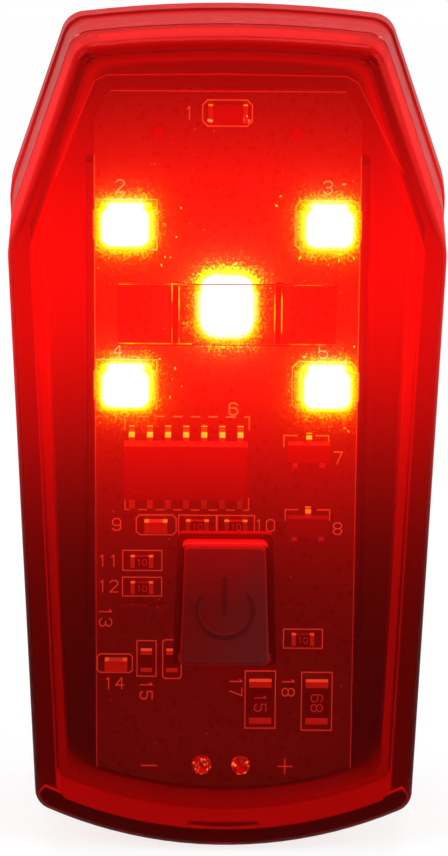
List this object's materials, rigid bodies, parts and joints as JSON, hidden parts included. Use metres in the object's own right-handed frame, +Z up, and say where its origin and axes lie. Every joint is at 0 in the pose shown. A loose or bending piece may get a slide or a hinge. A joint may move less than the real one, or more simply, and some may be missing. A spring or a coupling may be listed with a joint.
{
  "type": "bicycle tail light",
  "caption": "Clear red coffin-shaped tail light with lit emitters on a visible board, a soft power key, a covered charging port and a sprung rear clip.",
  "frame": {"origin": "on the housing's flat rear face, in the middle of the clip's slot", "axes": "+Z up along the housing's length, the lens looks along -Y, X to the right seen from the front"},
  "size_m": [0.0312, 0.0236, 0.0577],
  "materials": {
    "clear_red": "clear, polished",
    "red_plastic": "moulded gloss",
    "seal": "matte",
    "board": "satin solder mask",
    "package_white": "matte",
    "phosphor_window": "clear",
    "moulded_black": "matte",
    "tinned": "bright tinned",
    "resistor_glaze": "glazed",
    "capacitor_ceramic": "matte ceramic",
    "nickel_shell": "plated",
    "cell_foil": "satin foil",
    "foam": "matte foam",
    "black_wire": "satin",
    "red_wire": "satin",
    "dark_rubber": "matte",
    "steel": "satin",
    "red_silicone": "matte",
    "clip_plastic": "moulded satin"
  },
  "bodies": {
    "housing": {"lens_cup": "clear_red", "rear_shell": "red_plastic", "lens_seal": "seal", "circuit_board": "board", "led_package_1": "package_white", "led_window_1": "phosphor_window", "led_package_2": "package_white", "led_window_2": "phosphor_window", "led_package_3": "package_white", "led_window_3": "phosphor_window", "led_package_4": "package_white", "led_window_4": "phosphor_window", "led_package_5": "package_white", "led_window_5": "phosphor_window", "led_contacts": "tinned", "indicator_lamp": "package_white", "indicator_contacts": "tinned", "controller_chip": "moulded_black", "controller_leads": "tinned", "transistor_upper": "moulded_black", "transistor_lower": "moulded_black", "transistor_leads": "tinned", "resistors": "resistor_glaze", "capacitors": "capacitor_ceramic", "current_resistors": "resistor_glaze", "chip_part_ends": "tinned", "motion_sensor": "moulded_black", "switch_case": "moulded_black", "switch_legs": "tinned", "solder_joints": "tinned", "charge_socket": "nickel_shell", "socket_tongue": "moulded_black", "battery_cell": "cell_foil", "cell_tape": "foam", "cell_cushion": "foam", "guard_board": "board", "battery_lead_minus": "black_wire", "battery_lead_plus": "red_wire", "port_cover_anchor": "dark_rubber", "clip_pin": "steel", "clip_spring": "steel"},
    "power_key": {"power_button": "red_silicone", "switch_plunger": "moulded_black"},
    "clip": {"clip_arm": "clip_plastic"},
    "port_flap": {"port_cover": "dark_rubber"}
  },
  "joints": [
    {"name": "clip_swing", "type": "hinge", "parent": "housing", "child": "clip", "pos_m": [0, 0.003, 0.017], "axis": [1, 0, 0], "range_deg": [0, 20], "stiffness_Nm_per_rad": 0.03, "springref_deg": -68.75, "deforming": ["clip_spring"]},
    {"name": "power_press", "type": "slide", "parent": "housing", "child": "power_key", "axis": [0, 1, 0], "range_m": [0, 0.0003], "stiffness_N_per_m": 300, "springref_m": -0.001},
    {"name": "port_flap_swing", "type": "hinge", "parent": "housing", "child": "port_flap", "pos_m": [0, -0.00055, -0.02695], "axis": [-1, 0, 0], "range_deg": [0, 100], "stiffness_Nm_per_rad": 0.00005, "springref_deg": -11.46}
  ]
}
